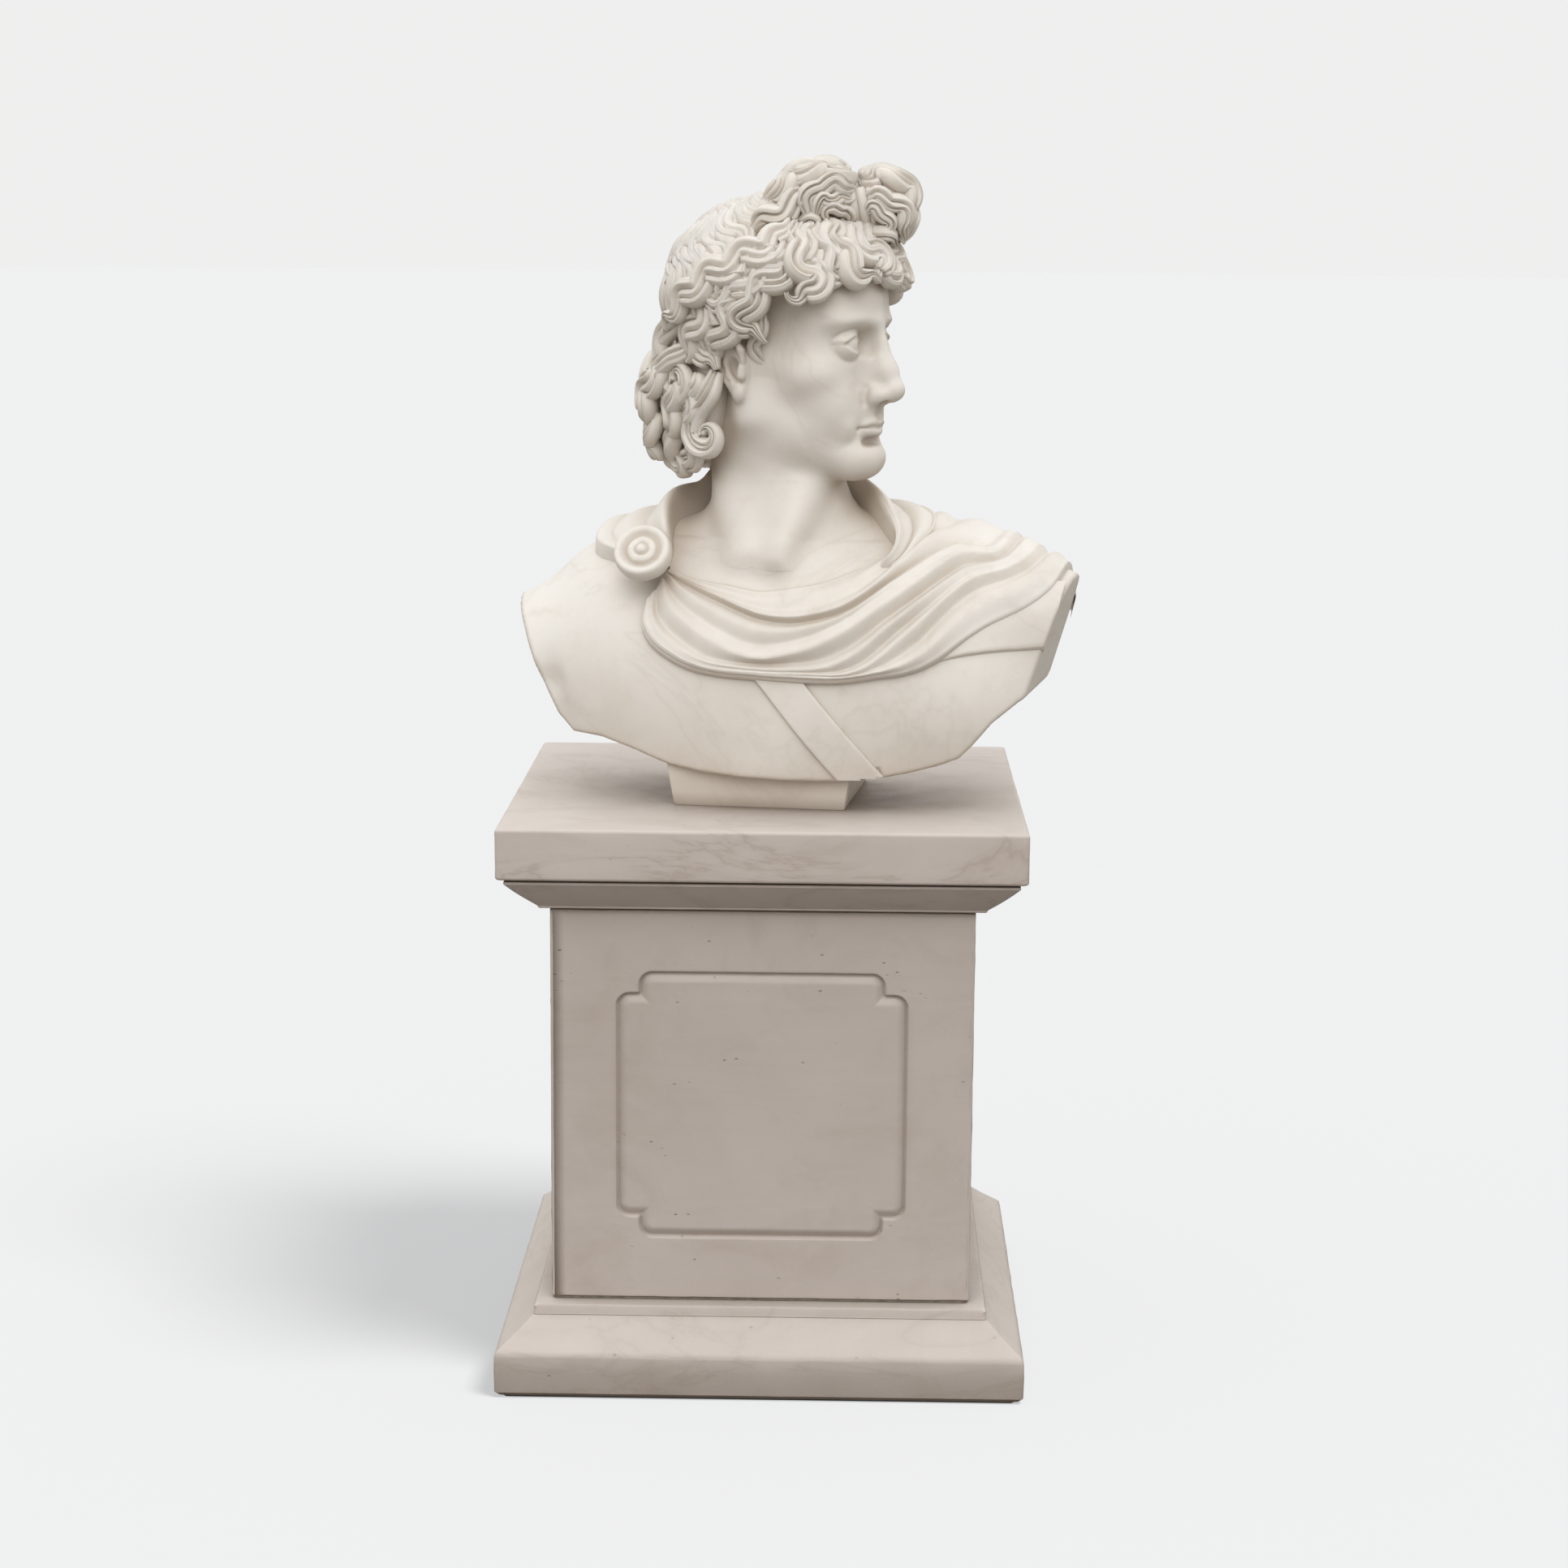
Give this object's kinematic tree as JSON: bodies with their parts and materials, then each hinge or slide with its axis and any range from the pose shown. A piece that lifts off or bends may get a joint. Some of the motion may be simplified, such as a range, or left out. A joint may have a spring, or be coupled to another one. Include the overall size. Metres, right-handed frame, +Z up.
{
  "type": "marble bust",
  "caption": "Carved marble bust of a cloaked young figure looking to its left, on a small socle that turns and lifts off a square moulded marble pedestal.",
  "frame": {"origin": "centre of the pedestal's underside, on the floor", "axes": "+Z up; the pedestal's front face and the chest face -Y; the figure's left arm is towards +X"},
  "size_m": [0.6181, 0.56, 1.2886],
  "materials": {
    "bust_marble": "honed",
    "pedestal_marble": "honed",
    "bedding": "matte",
    "steel": "satin",
    "rubber": "matte",
    "bronze": "satin"
  },
  "bodies": {
    "pedestal": {"floor_sheet": "rubber", "base_block": "pedestal_marble", "base_bed": "bedding", "base_dowels": "steel", "die_front": "pedestal_marble", "die_back": "pedestal_marble", "die_left": "pedestal_marble", "die_right": "pedestal_marble", "corner_blocks": "pedestal_marble", "corner_cramps": "steel", "die_bed": "bedding", "bed_moulding": "pedestal_marble", "cap_dowels": "steel", "cap_bed": "bedding", "cap_slab": "pedestal_marble"},
    "pin": {"bust_pin": "steel"},
    "bust": {"pin_sleeve": "bronze", "socle": "bust_marble", "socle_bed": "bedding", "socle_rod": "steel", "torso": "bust_marble", "baldric": "bust_marble", "cloak": "bust_marble", "brooch": "bust_marble", "brooch_pin": "steel", "neck_bed": "bedding", "neck_rod": "steel", "head": "bust_marble", "hair": "bust_marble", "hair_bow": "bust_marble"}
  },
  "joints": [
    {"name": "bust_turn", "type": "hinge", "parent": "pedestal", "child": "pin", "pos_m": [0.005, -0.046, 0.612], "axis": [0, 0, 1], "continuous": true},
    {"name": "bust_lift", "type": "slide", "parent": "pin", "child": "bust", "axis": [0, 0, 1], "range_m": [0, 0.08]}
  ]
}
